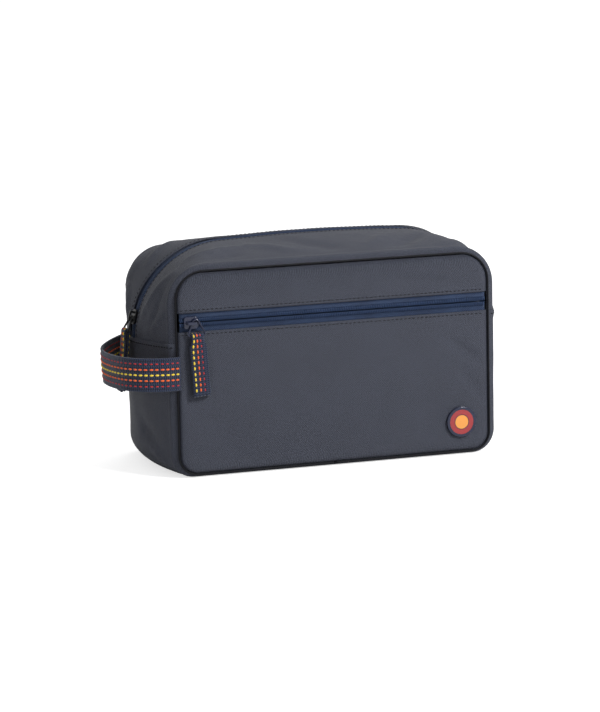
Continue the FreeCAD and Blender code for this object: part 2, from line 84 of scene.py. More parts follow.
def add_mesh(name, points, faces, uvs=None):
    """A mesh object from points in millimetres; uvs are one (u, v) in millimetres for each point."""
    mesh = bpy.data.meshes.new(name)
    mesh.from_pydata((np.asarray(points) * MM).tolist(), [], faces)
    if uvs is not None:
        layer = mesh.uv_layers.new(name="UVMap")
        corners = np.zeros(len(mesh.loops), np.int32)
        mesh.loops.foreach_get("vertex_index", corners)
        layer.data.foreach_set("uv", np.asarray(uvs, np.float32)[corners].ravel())
    mesh.polygons.foreach_set("use_smooth", [True] * len(mesh.polygons))
    mesh.update()
    made = bpy.data.objects.new(name, mesh)
    bpy.context.scene.collection.objects.link(made)
    return made


def run_along(path):
    """How far each point of a path lies from its start."""
    return np.concatenate([[0], np.cumsum(np.linalg.norm(np.diff(path, axis=0), axis=1))])


def grid_normals(grid):
    """The direction square to the grid at each of its points."""
    along = np.gradient(grid, axis=0)
    across = np.gradient(grid, axis=1)
    normal = np.cross(along, across)
    return normal / np.maximum(np.linalg.norm(normal, axis=2, keepdims=True), 1e-9)


def grid_lengths(grid):
    """Each point's distance along and across its grid, for weave that keeps its size."""
    along = np.linalg.norm(np.diff(grid, axis=0), axis=2)
    across = np.linalg.norm(np.diff(grid, axis=1), axis=2)
    u = np.vstack([np.zeros((1, grid.shape[1])), np.cumsum(along, axis=0)])
    v = np.hstack([np.zeros((grid.shape[0], 1)), np.cumsum(across, axis=1)])
    return np.repeat(u.mean(axis=1, keepdims=True), grid.shape[1], axis=1), v


def thick_sheet(name, grid, thickness, flip=False):
    """A sheet whose outer face is the grid, closed round its edges; flip turns its outside over."""
    rows, columns = grid.shape[:2]
    normal = grid_normals(grid) * (-1 if flip else 1)
    inner = grid - normal * thickness
    points = np.concatenate([grid.reshape(-1, 3), inner.reshape(-1, 3)])
    u, v = grid_lengths(grid)
    uv = np.stack([u, v], axis=2).reshape(-1, 2)
    count = rows * columns
    faces = []
    for i in range(rows - 1):
        for j in range(columns - 1):
            a = i * columns + j
            quad = (a, a + columns, a + columns + 1, a + 1)
            faces.append(quad[::-1] if flip else quad)
            below = tuple(k + count for k in quad)
            faces.append(below if flip else below[::-1])
    rim = list(range(columns))
    rim += [i * columns + columns - 1 for i in range(1, rows)]
    rim += [(rows - 1) * columns + j for j in range(columns - 2, -1, -1)]
    rim += [i * columns for i in range(rows - 2, 0, -1)]
    for a, b in zip(rim, rim[1:] + rim[:1]):
        side = (a, b, b + count, a + count)
        faces.append(side[::-1] if flip else side)
    return add_mesh(name, points, faces, np.concatenate([uv, uv]))


def swept(name, path, side, up, section):
    """A section of (side, up) offsets carried along a path, with its ends closed."""
    path, side, up = (np.asarray(a, float) for a in (path, side, up))
    section = np.asarray(section, float)
    if section.ndim == 2:
        section = np.repeat(section[None], len(path), axis=0)
    count = section.shape[1]
    points = (path[:, None] + side[:, None] * section[:, :, :1] + up[:, None] * section[:, :, 1:2])
    faces = []
    for i in range(len(path) - 1):
        for j in range(count):
            k = (j + 1) % count
            faces.append((i * count + j, i * count + k, (i + 1) * count + k, (i + 1) * count + j))
    last = (len(path) - 1) * count
    faces.append(tuple(range(count - 1, -1, -1)))
    faces.append(tuple(last + j for j in range(count)))
    run = run_along(path)
    uv = np.stack([np.repeat(run, count), section[:, :, 0].ravel()], axis=1)
    return add_mesh(name, points.reshape(-1, 3), faces, uv)


def smoothstep(x):
    """Rises from 0 to 1 with no slope at either end."""
    x = np.clip(x, 0, 1)
    return x * x * (3 - 2 * x)


def stitches(name, path, normal, pitch, length, radius, sink=0.35):
    """A row of thread floats lying along a path of close points, each a small rounded lozenge."""
    path, normal = np.asarray(path, float), np.asarray(normal, float)
    run = run_along(path)
    points, faces = [], []
    rings, sides = 6, 6
    for at in np.arange(pitch * 0.6, run[-1] - pitch * 0.4, pitch):
        jitter = random.uniform(-0.05, 0.05) * pitch
        a, b = (
            np.array([np.interp(at + jitter + end, run, path[:, k]) for k in range(3)])
            for end in (-length / 2, length / 2)
        )
        up = np.array([np.interp(at, run, normal[:, k]) for k in range(3)])
        up /= np.linalg.norm(up)
        ahead = (b - a) / max(np.linalg.norm(b - a), 1e-9)
        aside = np.cross(up, ahead)
        first = len(points)
        for i in range(rings):
            t = i / (rings - 1)
            swell = max(math.sin(math.pi * (0.06 + 0.88 * t)), 0.0) ** 0.5
            centre = a + (b - a) * t + up * radius * (swell - 1 + sink)
            for j in range(sides):
                turn = 2 * math.pi * j / sides
                points.append(centre + (aside * math.cos(turn) + up * math.sin(turn) * 0.8) * radius * swell)
        for i in range(rings - 1):
            for j in range(sides):
                k = (j + 1) % sides
                faces.append((first + i * sides + j, first + i * sides + k,
                              first + (i + 1) * sides + k, first + (i + 1) * sides + j))
        faces.append(tuple(first + j for j in range(sides - 1, -1, -1)))
        faces.append(tuple(first + (rings - 1) * sides + j for j in range(sides)))
    return add_mesh(name, points, faces)


# ---- the bag's shape: outlines across the bag at each depth, and soft unevenness in the cloth ----


def outline(depth, inset=0.0):
    """The bag's outline at a depth, from the middle of the base up the left side and over, as (x, z)."""
    d = max(SEAM - abs(depth), 0.0)
    t = d / SEAM
    turned = 1 - math.exp(-d / 1.7)
    lip = 1.0 * math.exp(-((d - 3.2) / 1.9) ** 2)
    w = HALF_WIDTH - 0.4 + 4.6 * turned + lip + (SIDE - HALF_WIDTH - 4.2) * (1 - (1 - t) ** 1.8) - inset
    low = max(BASE * math.exp(-d / 1.9) - lip * 0.4, 0.0) + inset
    high = TOP + 4.2 * turned + lip + (CROWN - TOP - 4.2) * (1 - (1 - t) ** 1.7) - inset
    top_radius = 20 + 6 * turned + 48 * (1 - (1 - t) ** 1.2) - inset
    low_radius = 13 + 4 * turned + 7 * t - inset
    sag = 2.05 * t
    corner = high - sag - top_radius
    points = [(-x, low) for x in np.linspace(0, w - low_radius, 40, endpoint=False)]
    for a in np.linspace(0, math.pi / 2, 16, endpoint=False):
        points.append((-(w - low_radius) - low_radius * math.sin(a), low + low_radius * (1 - math.cos(a))))
    for z in np.linspace(low + low_radius, corner, 40, endpoint=False):
        points.append((-w, z))
    for a in np.linspace(0, math.pi / 2, 32, endpoint=False):
        points.append((-(w - top_radius) - top_radius * math.cos(a), corner + top_radius * math.sin(a)))
    for x in np.linspace(-(w - top_radius), 0, 24):
        points.append((x, high - sag * (x / (w - top_radius)) ** 2))
    left = np.array(points)
    right = left[-2::-1] * np.array([-1, 1])
    return left, right


def cut_outline(depth, part, places, inset=0.0, reach=0.0):
    """Points at even shares of the outline: its top part between the hems, or the lower part under them."""
    left, right = outline(depth, inset)
    lean = 2.5 * depth / SEAM
    hem_left, hem_right = HEM_LEFT - lean, HEM_RIGHT
    whole = np.vstack([left, right])
    run = run_along(whole)
    at_left = np.interp(hem_left - reach, left[:, 1], run[:len(left)])
    down = whole[len(left) - 1:][::-1]
    at_right = np.interp(hem_right - reach, down[:, 1], run[len(left) - 1:][::-1])
    if part == "top":
        at = at_left + (at_right - at_left) * places
    else:
        at = (at_right + (run[-1] + at_left - at_right) * places) % run[-1]
    return np.stack([np.interp(at, run, whole[:, 0]), np.interp(at, run, whole[:, 1])], axis=1)


def surface(part, places, depths, inset=0.0, reach=0.0):
    """The grid of a gusset piece: places along the outline by depths from front to rear."""
    grid = np.zeros((len(places), len(depths), 3))
    for j, depth in enumerate(depths):
        flat = cut_outline(depth, part, places, inset, reach)
        grid[:, j, 0], grid[:, j, 1], grid[:, j, 2] = flat[:, 0], depth, flat[:, 1]
    return grid


# ridges and dents in the gusset: start, end, half width and height outwards
CREASES = [
    ((-131, -14, 108), (-112, -40, 143), 3.4, 1.5),
    ((-131, -30, 104), (-118, -44, 138), 3.2, -1.4),
    ((-133, -22, 100), (-124, -50, 122), 3.0, 1.2),
    ((-104, -36, 152), (-58, -30, 165), 3.6, 1.7),
    ((-96, -46, 152), (-64, -44, 159), 4.0, -1.2),
    ((-60, -26, 165), (-20, -44, 160), 4.5, 1.4),
    ((-28, -20, 168), (10, -46, 158), 6.0, -1.5),
    ((30, -46, 158), (58, -20, 167), 5.0, 1.2),
    ((52, -48, 157), (84, -26, 162), 5.0, -1.5),
    ((88, -50, 152), (112, -30, 148), 5.0, 1.0),
    ((-134, 12, 104), (-122, 36, 132), 3.6, 1.4),
    ((-118, 24, 146), (-90, 38, 158), 4.0, 1.4),
    ((-128, 42, 126), (-110, 44, 151), 11.0, 1.8),
    ((-60, 30, 164), (0, 40, 162), 6.0, -1.2),
    ((-133, -38, 18), (-130, -10, 40), 6.0, -1.4),
    ((-126, -50, 8), (-132, -22, 24), 4.0, 1.2),
    ((-131, 40, 16), (-128, 20, 60), 6.0, -1.2),
    ((128, -48, 20), (133, -20, 70), 7.0, -1.4),
]


def soften(grid, mask, amount=0.55):
    """Moves a grid in and out along its normals by slow unevenness and the named creases."""
    normal = grid_normals(grid)
    flat = grid.reshape(-1, 3)
    push = np.array([
        noise.noise(Vector(p) / 34.0) + 0.45 * noise.noise(Vector(p) / 13.0 + Vector((5, 1, 9)))
        for p in flat
    ]) * amount
    for start, end, width, height in CREASES:
        a, b = np.array(start, float), np.array(end, float)
        line = [flat[np.argmin(np.linalg.norm(flat - (a + (b - a) * k / 12), axis=1))] for k in range(13)]
        if np.linalg.norm(line[6] - (a + b) / 2) > 14:
            continue
        away, fade = np.full(len(flat), 1e9), np.zeros(len(flat))
        for k in range(12):
            step = line[k + 1] - line[k]
            t = np.clip((flat - line[k]) @ step / max(step @ step, 1e-9), 0, 1)
            gap = np.linalg.norm(flat - (line[k] + t[:, None] * step), axis=1)
            fade = np.where(gap < away, np.sin(np.pi * (0.08 + 0.84 * (k + t) / 12)), fade)
            away = np.minimum(away, gap)
        push += 1.35 * height * fade * np.exp(-(away / width) ** 2)
    outward = np.sign((normal * (grid - np.array([0, 0, 80.0]))).sum(axis=2, keepdims=True))
    return grid + normal * outward * (push.reshape(mask.shape) * mask)[:, :, None]


def crowd(count, ends=1.6):
    """Places from 0 to 1 that crowd towards both ends."""
    t = np.linspace(-1, 1, count)
    return (np.sign(t) * (1 - (1 - np.abs(t)) ** ends) + 1) / 2


def over_opening(piece, side, *nodes):
    """A piece of the top in place of the CAD's cut pieces, which it hides; its placement is baked into its
    points.
    """
    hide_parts(*nodes)
    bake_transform(piece)
    return piece


def fixed(piece, body, slot, *nodes):
    """A piece that rides rigidly on one body, in place of the CAD nodes named, if any."""
    if nodes:
        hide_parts(*nodes)
    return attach(piece, body)


# ---- materials: shared node groups give weave and unevenness; UVs are in millimetres ----


def new_group(name, outputs, inputs):
    """A node group with outputs as (label, kind) and inputs as (label, kind, value)."""
    group = bpy.data.node_groups.new(name, "ShaderNodeTree")
    for label, kind, value in inputs:
        socket = group.interface.new_socket(label, in_out="INPUT", socket_type=kind)
        socket.default_value = value
    for label, kind in outputs:
        group.interface.new_socket(label, in_out="OUTPUT", socket_type=kind)
    return group


class Nodes:
    """Adds nodes to a tree; values and links are given together."""

    def __init__(self, tree):
        self.tree = tree

    def add(self, kind, out=0, operation=None, **settings):
        node = self.tree.nodes.new(kind)
        if operation:
            node.operation = operation
        for key, value in settings.items():
            if key.startswith("in_"):
                place = key[3:]
                socket = node.inputs[int(place) if place.isdigit() else place.replace("_", " ")]
                if isinstance(value, bpy.types.NodeSocket):
                    self.tree.links.new(value, socket)
                else:
                    socket.default_value = value
            else:
                setattr(node, key, value)
        return node.outputs[out]

    def math(self, operation, a, b=0.0):
        return self.add("ShaderNodeMath", operation=operation, in_0=a, in_1=b)

    def mix(self, factor, a, b):
        """A colour between a and b."""
        node = self.tree.nodes.new("ShaderNodeMix")
        node.data_type = "RGBA"
        given = ((node.inputs["Factor"], factor), (node.inputs[6], a), (node.inputs[7], b))
        for socket, value in given:
            if isinstance(value, bpy.types.NodeSocket):
                self.tree.links.new(value, socket)
            else:
                socket.default_value = value if socket.name == "Factor" else (*value[:3], 1.0)
        return node.outputs[2]


def weave_group():
    """Plain weave with uneven yarn: height from 0 to 1 for a yarn pitch in millimetres."""
    group = new_group("Weave", [("Height", "NodeSocketFloat"), ("Mottle", "NodeSocketFloat")],
                      [("Pitch", "NodeSocketFloat", 0.6), ("Slub", "NodeSocketFloat", 0.35)])
    n = Nodes(group)
    inp = group.nodes.new("NodeGroupInput")
    out = group.nodes.new("NodeGroupOutput")
    uv = n.add("ShaderNodeUVMap")
    warp = n.add("ShaderNodeTexNoise", out=1, in_Vector=uv, in_Scale=0.35, in_Detail=3.0)
    bent = n.add("ShaderNodeVectorMath", operation="SCALE", in_0=warp, in_Scale=0.45)
    place = n.add("ShaderNodeVectorMath", operation="ADD", in_0=uv, in_1=bent)
    apart = group.nodes.new("ShaderNodeSeparateXYZ")
    group.links.new(place, apart.inputs[0])
    turn = n.math("DIVIDE", 2 * math.pi, inp.outputs["Pitch"])
    across = n.math("SINE", n.math("MULTIPLY", apart.outputs[0], turn))
    along = n.math("SINE", n.math("MULTIPLY", apart.outputs[1], turn))
    cross = n.math("MULTIPLY", across, along)
    yarn = n.add("ShaderNodeTexNoise", in_Vector=uv, in_Scale=1.1, in_Detail=4.0)
    rough = n.math("MULTIPLY", n.math("SUBTRACT", yarn, 0.5), inp.outputs["Slub"])
    height = n.math("ADD", n.math("MULTIPLY", cross, 0.35), rough)
    group.links.new(n.math("ADD", height, 0.5), out.inputs["Height"])
    slow = n.add("ShaderNodeTexNoise", in_Vector=uv, in_Scale=0.03, in_Detail=6.0, in_Roughness=0.6)
    group.links.new(slow, out.inputs["Mottle"])
    return group


WEAVE = weave_group()


def material(name, colour, roughness, metallic=0.0, coat=0.0, sheen=0.0):
    """A plain material, with what its nodes are added through and its shader."""
    made = bpy.data.materials.new(name)
    made.use_nodes = True
    shader = made.node_tree.nodes["Principled BSDF"]
    shader.inputs["Base Color"].default_value = (*colour, 1)
    shader.inputs["Roughness"].default_value = roughness
    shader.inputs["Metallic"].default_value = metallic
    shader.inputs["Coat Weight"].default_value = coat
    shader.inputs["Coat Roughness"].default_value = 0.12
    shader.inputs["Sheen Weight"].default_value = sheen
    shader.inputs["Sheen Roughness"].default_value = 0.45
    shader.inputs["Specular IOR Level"].default_value = 0.5 if metallic or coat else 0.28
    return made, Nodes(made.node_tree), shader


def woven(name, dark, light, roughness, pitch, depth, slub=0.35, sheen=0.15, mottle=0.5):
    """Cloth: colour varies by yarn and in slow patches, and the weave stands out as bump."""
    made, n, shader = material(name, dark, roughness, sheen=sheen)
    weave = made.node_tree.nodes.new("ShaderNodeGroup")
    weave.node_tree = WEAVE
    weave.inputs["Pitch"].default_value = pitch
    weave.inputs["Slub"].default_value = slub
    height, patches = weave.outputs["Height"], weave.outputs["Mottle"]
    share = n.math("ADD", n.math("MULTIPLY", height, 1 - mottle), n.math("MULTIPLY", patches, mottle))
    ramp = n.add("ShaderNodeMapRange", in_0=share, in_1=0.33, in_2=0.67, in_3=0.0, in_4=1.0)
    links = made.node_tree.links
    links.new(n.mix(ramp, dark, light), shader.inputs["Base Color"])
    links.new(n.math("ADD", n.math("MULTIPLY", patches, 0.25), roughness - 0.12), shader.inputs["Roughness"])
    relief = n.add("ShaderNodeBump", in_Strength=0.9, in_Distance=depth, in_Height=height)
    links.new(relief, shader.inputs["Normal"])
    return made


def ribbed(name, dark, light, rib, cross, depth):
    """Webbing: slanted ribs across the band; its colour follows the rib height and some random fuzz, darker
    in the grooves as painted shade and lighter on the ribs as painted highlight.
    """
    made, n, shader = material(name, dark, 0.62, sheen=0.25)
    uv = n.add("ShaderNodeUVMap")
    apart = made.node_tree.nodes.new("ShaderNodeSeparateXYZ")
    made.node_tree.links.new(uv, apart.inputs[0])
    run = n.math("MULTIPLY", apart.outputs[0], 2 * math.pi / rib)
    over = n.math("MULTIPLY", apart.outputs[1], 2 * math.pi / cross)
    zigzag = n.math("SINE", n.math("ADD", run, n.math("MULTIPLY", n.math("SINE", over), 0.9)))
    bands = n.math("ABSOLUTE", n.math("SINE", n.math("MULTIPLY", over, 0.5)))
    fuzz = n.add("ShaderNodeTexNoise", in_Vector=uv, in_Scale=2.3, in_Detail=4.0)
    ribs = n.math("MULTIPLY", n.math("ADD", zigzag, bands), 0.3)
    height = n.math("ADD", ribs, n.math("MULTIPLY", fuzz, 0.5))
    # colour from rib height: painted shade in the grooves, painted highlight on the ribs
    ramp = n.add("ShaderNodeMapRange", in_0=height, in_1=0.0, in_2=0.8, in_3=0.0, in_4=1.0)
    links = made.node_tree.links
    links.new(n.mix(ramp, dark, light), shader.inputs["Base Color"])
    relief = n.add("ShaderNodeBump", in_Strength=1.0, in_Distance=depth, in_Height=height)
    links.new(relief, shader.inputs["Normal"])
    return made


def speckled(name, colour, roughness, metallic=0.0, coat=0.0, sheen=0.0, scale=900.0, depth=0.00002,
             vary=0.25):
    """A solid material with fine grain in its colour, roughness and surface."""
    made, n, shader = material(name, colour, roughness, metallic, coat, sheen)
    place = n.add("ShaderNodeTexCoord", out=3)
    grain = n.add("ShaderNodeTexNoise", in_Vector=place, in_Scale=scale, in_Detail=5.0)
    slow = n.add("ShaderNodeTexNoise", in_Vector=place, in_Scale=scale / 12, in_Detail=3.0)
    links = made.node_tree.links
    darker = tuple(c * (1 - vary) for c in colour)
    lighter = tuple(min(c * (1 + vary), 1.0) for c in colour)
    links.new(n.mix(slow, darker, lighter), shader.inputs["Base Color"])
    links.new(n.math("ADD", n.math("MULTIPLY", grain, 0.16), roughness - 0.08), shader.inputs["Roughness"])
    relief = n.add("ShaderNodeBump", in_Strength=0.6, in_Distance=depth, in_Height=grain)
    links.new(relief, shader.inputs["Normal"])
    return made


CANVAS = woven("coated_canvas", (0.0135, 0.0155, 0.025), (0.073, 0.081, 0.112), 0.46, 1.3, 0.00048,
               slub=1.1, sheen=0.04, mottle=0.16)
LINING = woven("lining_cloth", (0.10, 0.11, 0.13), (0.17, 0.18, 0.20), 0.7, 0.5, 0.00006)
BINDING = woven("binding_tape", (0.012, 0.015, 0.025), (0.03, 0.035, 0.05), 0.75, 0.9, 0.0001)
TAPE = woven("zip_tape", (0.004, 0.010, 0.032), (0.034, 0.062, 0.135), 0.62, 1.5, 0.0004,
             slub=1.2, sheen=0.1)
COIL = speckled("zip_coil", (0.030, 0.056, 0.128), 0.40)
# the light webbing colour is partly painted highlight on the ribs, the dark one partly painted shade in the
# grooves
WEBBING = ribbed("navy_webbing", (0.002, 0.004, 0.013), (0.027, 0.040, 0.086), 1.6, 2.6, 0.0006)
BLACK = speckled("black_metal", (0.012, 0.012, 0.014), 0.34, metallic=0.6, coat=0.25)
NAVY_METAL = speckled("navy_metal", (0.010, 0.015, 0.045), 0.28, metallic=0.3, coat=0.6)
ENAMEL_RED = speckled("red_enamel", (0.34, 0.014, 0.018), 0.22, coat=0.8, vary=0.08)
ENAMEL_AMBER = speckled("amber_enamel", (0.85, 0.33, 0.05), 0.22, coat=0.8, vary=0.08)
BOARD = speckled("base_board", (0.03, 0.03, 0.03), 0.7)
# near-black: partly the thread's own dark colour and partly painted shade of the stitch holes; the seam
# cords use it as painted shade alone
THREAD_AND_SHADE = speckled("thread_dark_as_shade", (0.003, 0.0035, 0.006), 0.7, scale=2500)
THREAD_YELLOW = speckled("yellow_thread", (0.90, 0.66, 0.05), 0.6, sheen=0.3, scale=2500, vary=0.12)
THREAD_ORANGE = speckled("orange_thread", (0.88, 0.13, 0.02), 0.6, sheen=0.3, scale=2500, vary=0.12)
THREAD_RED = speckled("red_thread", (0.50, 0.018, 0.022), 0.6, sheen=0.3, scale=2500, vary=0.15)
WHITE = speckled("studio_floor", (0.8, 0.8, 0.8), 0.9, scale=40, vary=0.01, depth=0.0)
floor_nodes = Nodes(WHITE.node_tree)
glow = floor_nodes.math("MULTIPLY", floor_nodes.add("ShaderNodeLightPath", out="Is Camera Ray"), 0.68)
floor_shader = WHITE.node_tree.nodes["Principled BSDF"]
floor_shader.inputs["Emission Color"].default_value = (1, 1, 1, 1)
WHITE.node_tree.links.new(glow, floor_shader.inputs["Emission Strength"])


def painted(piece, look):
    """Gives a piece one material and no other."""
    piece.data.materials.clear()
    piece.data.materials.append(look)
    return piece


for node, look in (
    ("main_slider", BLACK), ("front_slider", NAVY_METAL),
    ("main_pull_ring", BLACK), ("front_pull_ring", NAVY_METAL),
    ("badge_disc", NAVY_METAL), ("badge_post", NAVY_METAL), ("badge_washer", NAVY_METAL),
    ("badge_enamel_outer", ENAMEL_RED), ("badge_enamel_inner", ENAMEL_AMBER), ("base_stiffener", BOARD),
):
    painted(frame["nodes"][node], look)

# ---- gusset: two halves of the top, and the strip round sides and base ----
CANVAS_THICK = 1.2
LINING_THICK = 0.5
LINING_INSET = 3.2
PLACES = crowd(170, 1.5)


def depth_mask(grid, places, zip_side):
    """Where cloth is free to be uneven: not at the seams, the zip or the hems."""
    depth = np.abs(grid[:, :, 1])
    free = smoothstep((SEAM - depth) / 13)
    if zip_side:
        free = free * (0.3 + 0.7 * smoothstep((depth - ZIP_EDGE) / 15))
    ends = smoothstep(np.minimum(places, 1 - places) / 0.06)
    return free * ends[:, None]


for side, sign in (("front", -1), ("rear", 1)):
    spread = SEAM - 0.2 - (SEAM - 0.2 - ZIP_EDGE) * crowd(46, 1.7)
    depths = sorted(sign * spread)
    grid = surface("top", PLACES, depths, reach=8.0)
    grid = soften(grid, depth_mask(grid, PLACES, True))
    from_zip = np.abs(grid[:, :, 1]) - ZIP_EDGE
    fold = 0.35 * smoothstep(1 - from_zip / 4.5) - 0.8 * np.exp(-from_zip / 0.3)
    grid = grid + grid_normals(grid) * fold[:, :, None]
    half = thick_sheet(f"top_gusset_{side}", grid, CANVAS_THICK)
    painted(half, CANVAS)
    over_opening(half, side, f"top_gusset_{side}_flap", f"top_gusset_{side}_shoulders")

    row = int(np.argmin(np.abs(np.abs(np.array(depths)) - ZIP_EDGE - 2.4)))
    upward = grid_normals(grid)[4:-4, row]
    # near-black stitches: dark partly as painted shade of the stitch holes
    seam_row = stitches(f"zip_topstitch_{side}", grid[4:-4, row], upward, 3.3, 2.1, 0.36)
    painted(seam_row, THREAD_AND_SHADE)
    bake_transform(seam_row)

    lining_depths = sorted(sign * np.linspace(ZIP_EDGE + 3, SEAM - 8, 16))
    lining_grid = surface("top", PLACES, lining_depths, inset=LINING_INSET)
    lining = thick_sheet(f"lining_top_{side}", lining_grid, LINING_THICK)
    painted(lining, LINING)
    over_opening(lining, side, f"lining_top_{side}_flap", f"lining_top_{side}_shoulders")

LOWER_PLACES = crowd(210, 1.7)
lower_depths = (crowd(84, 1.8) * 2 - 1) * (SEAM - 0.2)
lower = surface("lower", LOWER_PLACES, lower_depths)
along = run_along(lower[:, len(lower_depths) // 2])
to_hem = np.minimum(along, along[-1] - along)[:, None] * np.ones((1, len(lower_depths)))
base_mask = 0.25 + 0.75 * smoothstep(lower[:, :, 2] / 12)
lower = soften(lower, depth_mask(lower, LOWER_PLACES, False) * base_mask, 0.8)
near_seam = smoothstep((SEAM - np.abs(lower[:, :, 1])) / 3)
lift = (0.35 + 1.0 * smoothstep(1 - to_hem / 9) - 0.9 * np.exp(-to_hem / 0.3)) * (0.35 + 0.65 * near_seam)
lift = np.where(to_hem > 30, lift * smoothstep((60 - to_hem) / 30), lift)
lower = lower + grid_normals(lower) * lift[:, :, None]
lower[:, :, 2] = np.maximum(lower[:, :, 2], 0.0)
side_strip = thick_sheet("lower_gusset_strip", lower, CANVAS_THICK)
fixed(painted(side_strip, CANVAS), "bag", "coated_canvas", "lower_gusset")
for label, index in (("right", int(np.argmin(np.abs(along - 3.2)))),
                     ("left", int(np.argmin(np.abs(along[-1] - along - 3.2))))):
    outward = grid_normals(lower)[index, 4:-4]
    # near-black stitches: dark partly as painted shade of the stitch holes
    row = stitches(f"hem_stitch_{label}", lower[index, 4:-4], outward, 3.4, 2.3, 0.46)
    fixed(painted(row, THREAD_AND_SHADE), "bag", "coated_canvas")
inner = surface("lower", crowd(120, 1.2), np.linspace(-50, 56, 24), inset=LINING_INSET)
lining = thick_sheet("lining_sides_and_base", inner, LINING_THICK)
fixed(painted(lining, LINING), "bag", "lining_cloth", "lining_gusset")

for side, sign in (("front", -1), ("rear", 1)):
    depths = sorted(sign * np.linspace(SEAM - 5.8, SEAM - 0.9, 6))
    columns = []
    for depth in depths:
        left, right = outline(depth, 1.8)
        loop = np.vstack([left, right[:-1], left[:1]])
        columns.append(np.stack([loop[:, 0], np.full(len(loop), depth), loop[:, 1]], axis=1))
    band = np.stack(columns, axis=1)
    piece = thick_sheet(f"seam_tape_{side}", band, 1.1)
    fixed(painted(piece, BINDING), "bag", "seam_binding", f"seam_binding_{side}")

# ---- front and back panels: flat pieces that roll into the turned seam, with folded zip edges ----
TOP_RADIUS, LOW_RADIUS = 20.0, 13.0
EDGE_STEPS = [0, 0.35, 0.8, 1.4, 2.2, 3.4, 5.2, 8.0, 12.0]
PANEL_COLUMNS = 110


def half_width_at(z, inset):
    """Half the width of the panel's rounded outline at a height."""
    w = HALF_WIDTH - 0.1 - inset
    for centre, radius, past in ((TOP - TOP_RADIUS, TOP_RADIUS - inset, z - (TOP - TOP_RADIUS)),
                                 (BASE + LOW_RADIUS, LOW_RADIUS - inset, BASE + LOW_RADIUS - z)):
        if past > 0:
            w = HALF_WIDTH - 0.1 - inset - radius + math.sqrt(max(radius ** 2 - past ** 2, 0.0))
    return w


def edge_distance(x, z, inset):
    """How far a point lies inside the panel's rounded outline."""
    high = z > (TOP + BASE) / 2
    radius = np.where(high, TOP_RADIUS, LOW_RADIUS) - inset
    qx = np.abs(x) - (HALF_WIDTH - 0.1 - inset - radius)
    qz = np.where(high, z - (TOP - inset - radius), (BASE + inset + radius) - z)
    outside = np.hypot(np.maximum(qx, 0), np.maximum(qz, 0))
    return radius - outside - np.minimum(np.maximum(qx, qz), 0)


def panel_rows(low, high, inset):
    """Heights for a panel's rows, close together at its edges and round its corners."""
    rows = {low, high}
    rows |= {low + s for s in EDGE_STEPS if low + s < high}
    rows |= {high - s for s in EDGE_STEPS if high - s > low}
    rows |= set(np.linspace(low, high, max(int((high - low) / 3.2), 3)))
    for a in np.linspace(0, math.pi / 2, 22):
        for z in (TOP - TOP_RADIUS + (TOP_RADIUS - inset) * math.sin(a),
                  BASE + LOW_RADIUS - (LOW_RADIUS - inset) * math.sin(a)):
            if low < z < high:
                rows.add(z)
    rows = sorted(rows)
    kept = [rows[0]] + [b for a, b in zip(rows, rows[1:]) if b - a > 0.02]
    kept[-1] = high
    return kept


FRONT_CREASES = [  # start and end as x and z, width, height outwards
    ((88, 88), (118, 68), 2.6, -1.5), ((96, 66), (118, 40), 4.0, -0.9), ((-117, 52), (-98, 84), 4.0, -0.8),
    ((40, 137), (112, 128), 4.5, -0.9), ((-100, 128), (-40, 136), 4.5, -0.7),
]


def panel_grid(low, high, face, sign, inset=0.0, soft=0.3, edge_roll=2.3):
    """A panel between two heights whose face stands at a depth, and rolls in where the seam is."""
    rows = panel_rows(low, high, inset)
    grid = np.zeros((len(rows), 2 * len(EDGE_STEPS) + PANEL_COLUMNS, 3))
    for i, z in enumerate(rows):
        w = half_width_at(z, inset)
        inner = np.linspace(-(w - 14), w - 14, PANEL_COLUMNS)
        left, right = [-w + s for s in EDGE_STEPS], [w - s for s in EDGE_STEPS[::-1]]
        grid[i, :, 0] = np.concatenate([left, inner, right])
        grid[i, :, 2] = z
    into = np.maximum(edge_distance(grid[:, :, 0], grid[:, :, 2], inset), 0)
    wave = np.array([noise.noise(Vector((p[0], sign * 50, p[2])) / 42.0) for p in grid.reshape(-1, 3)])
    push = wave.reshape(into.shape) * soft * smoothstep(into / 22)
    push += 0.5 * soft * smoothstep(into / 45)
    for start, end, width, height in FRONT_CREASES if sign < 0 else ():
        a, b = np.array(start, float), np.array(end, float)
        t = np.clip((grid[:, :, ::2] - a) @ (b - a) / ((b - a) @ (b - a)), 0, 1)
        away = np.linalg.norm(grid[:, :, ::2] - a - t[:, :, None] * (b - a), axis=2)
        fade = np.sin(np.pi * (0.1 + 0.8 * t)) * smoothstep(into / 7)
        push += height * fade * np.exp(-(away / width) ** 2)
    grid[:, :, 1] = face + sign * (push - edge_roll * np.exp(-into / 1.15))
    return grid


def folded(grid, at, sign):
    """Raises the cloth that is folded double along a zip's edge, and rounds the fold."""
    away = np.abs(grid[:, :, 2] - at)
    grid[:, :, 1] += sign * (0.15 * smoothstep(1 - away / 4.2) - 0.75 * np.exp(-away / 0.28))
    return grid


